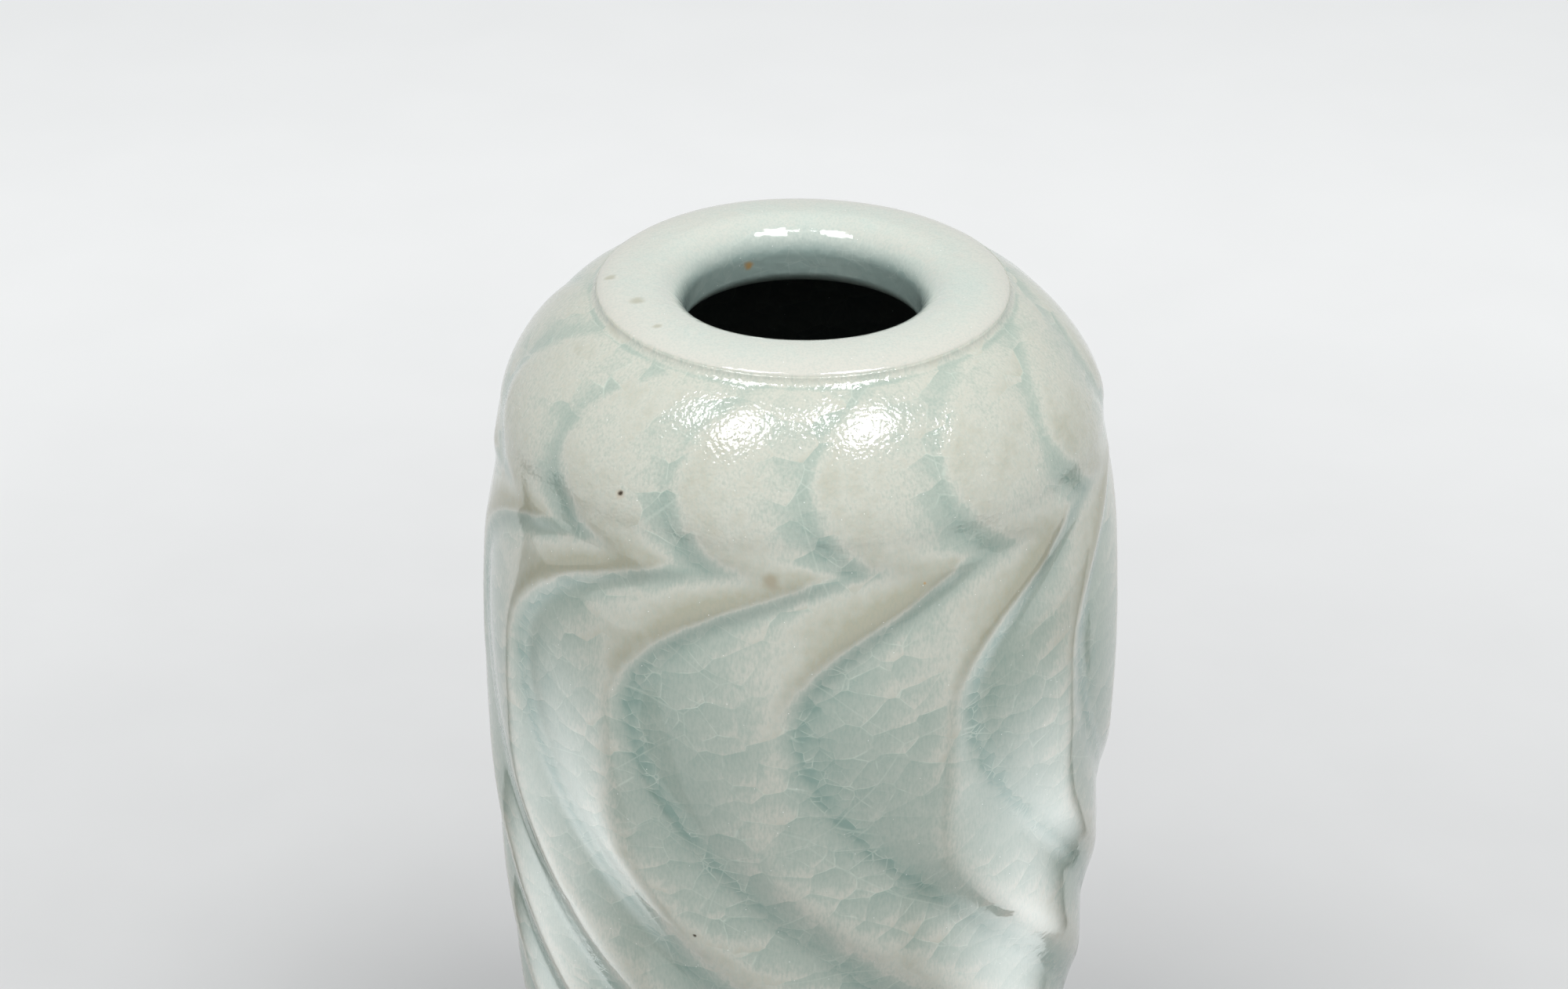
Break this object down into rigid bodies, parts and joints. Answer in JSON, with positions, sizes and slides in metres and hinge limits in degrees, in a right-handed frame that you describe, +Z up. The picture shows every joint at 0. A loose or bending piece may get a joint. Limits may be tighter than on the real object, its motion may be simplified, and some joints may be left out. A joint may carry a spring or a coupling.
{
  "type": "carved celadon vase",
  "caption": "Tall barrel-shaped porcelain vase with a flat rolled lip, a narrow throat and swirling carved waves under a crackled celadon glaze.",
  "frame": {"origin": "centre of the foot's bottom face, on the vase's axis", "axes": "+Z up along the vase's axis, towards the mouth; -Y towards the front view"},
  "size_m": [0.1383, 0.1379, 0.28],
  "materials": {
    "bare_porcelain": "matte",
    "celadon_glaze": "gloss",
    "lip_glaze": "gloss",
    "inner_glaze": "gloss",
    "recess_glaze": "gloss"
  },
  "bodies": {
    "root": {"foot_ring": "bare_porcelain", "floor_disc": "bare_porcelain", "lower_wall": "bare_porcelain", "shoulder_wall": "bare_porcelain", "mouth_ring": "bare_porcelain", "outer_glaze": "celadon_glaze", "lip_glaze": "lip_glaze", "inner_glaze": "inner_glaze", "recess_glaze": "recess_glaze"}
  },
  "joints": []
}
